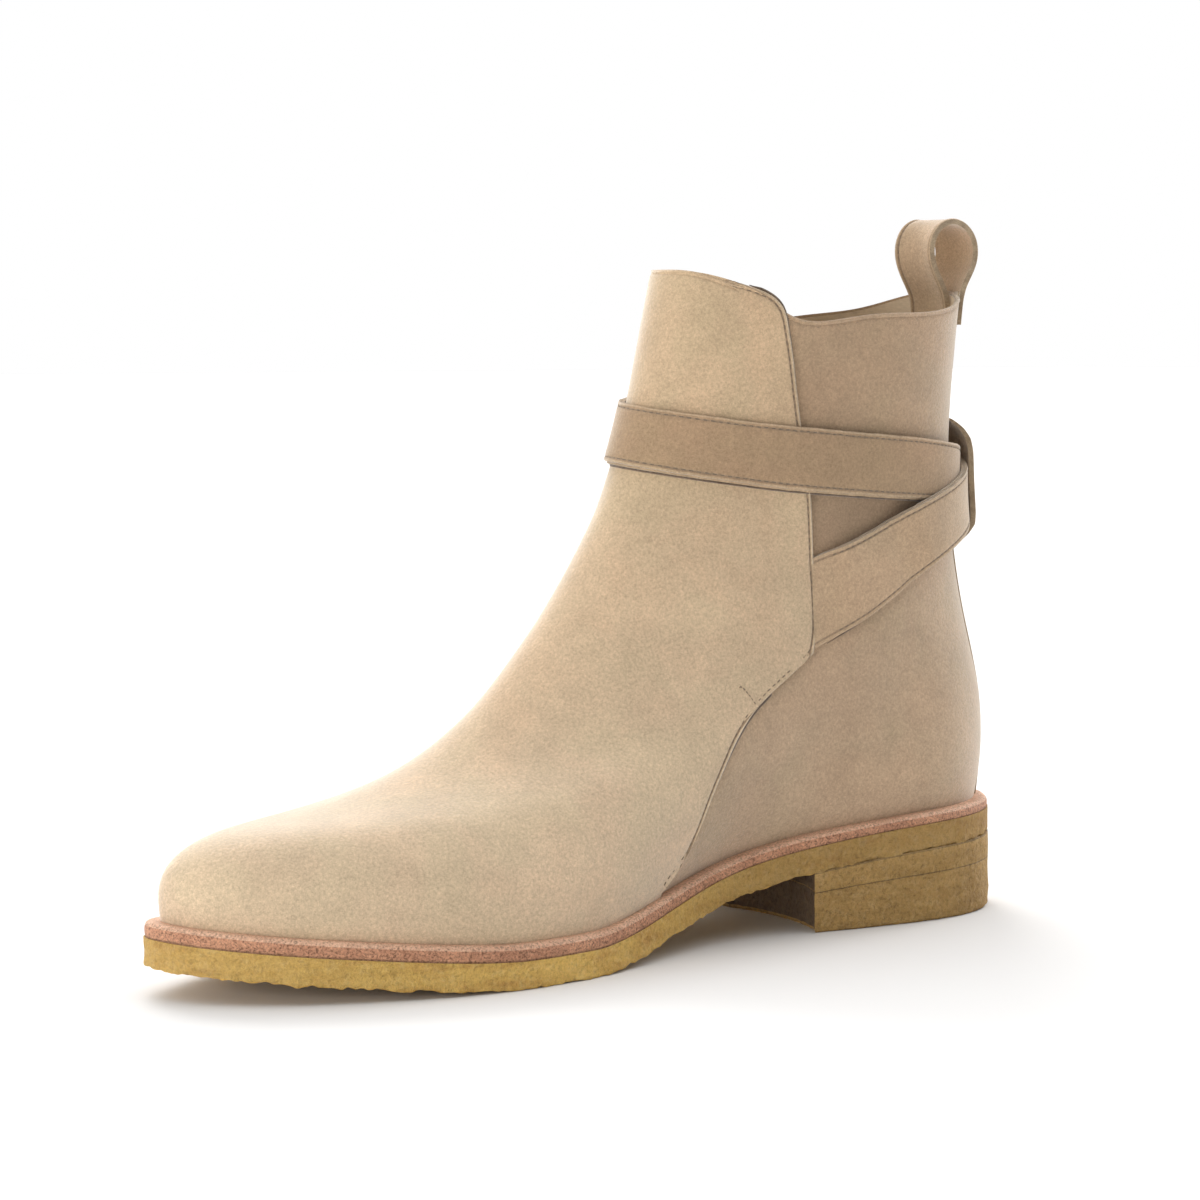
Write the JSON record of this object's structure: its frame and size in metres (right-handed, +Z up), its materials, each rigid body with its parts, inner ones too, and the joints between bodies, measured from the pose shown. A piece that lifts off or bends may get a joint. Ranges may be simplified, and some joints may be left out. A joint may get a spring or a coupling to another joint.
{
  "type": "jodhpur boot",
  "caption": "Hollow suede ankle boot with a pointed toe, crossed ankle straps held by a side buckle, a heel keeper, a pull loop and a crepe sole with a low heel.",
  "frame": {"origin": "on the floor under the middle of the boot's bounding box", "axes": "+X towards the heel, -X towards the toe, -Y the inner (medial) side, +Y the outer side with the buckle, +Z up"},
  "size_m": [0.301, 0.0982, 0.2196],
  "materials": {
    "suede": "napped suede, matte",
    "strap_suede": "napped suede, matte",
    "crepe_rubber": "mottled crepe, matte",
    "welt_leather": "natural, satin",
    "insole_leather": "smooth, satin",
    "buckle_brass": "antique, brushed"
  },
  "bodies": {
    "root": {"outsole": "crepe_rubber", "heel": "crepe_rubber", "midsole": "welt_leather", "insole": "insole_leather", "upper": "suede", "wrap_strap": "strap_suede", "buckle_strap": "strap_suede", "keeper": "strap_suede", "pull_loop": "strap_suede", "buckle_frame": "buckle_brass", "buckle_prong": "buckle_brass"}
  },
  "joints": []
}
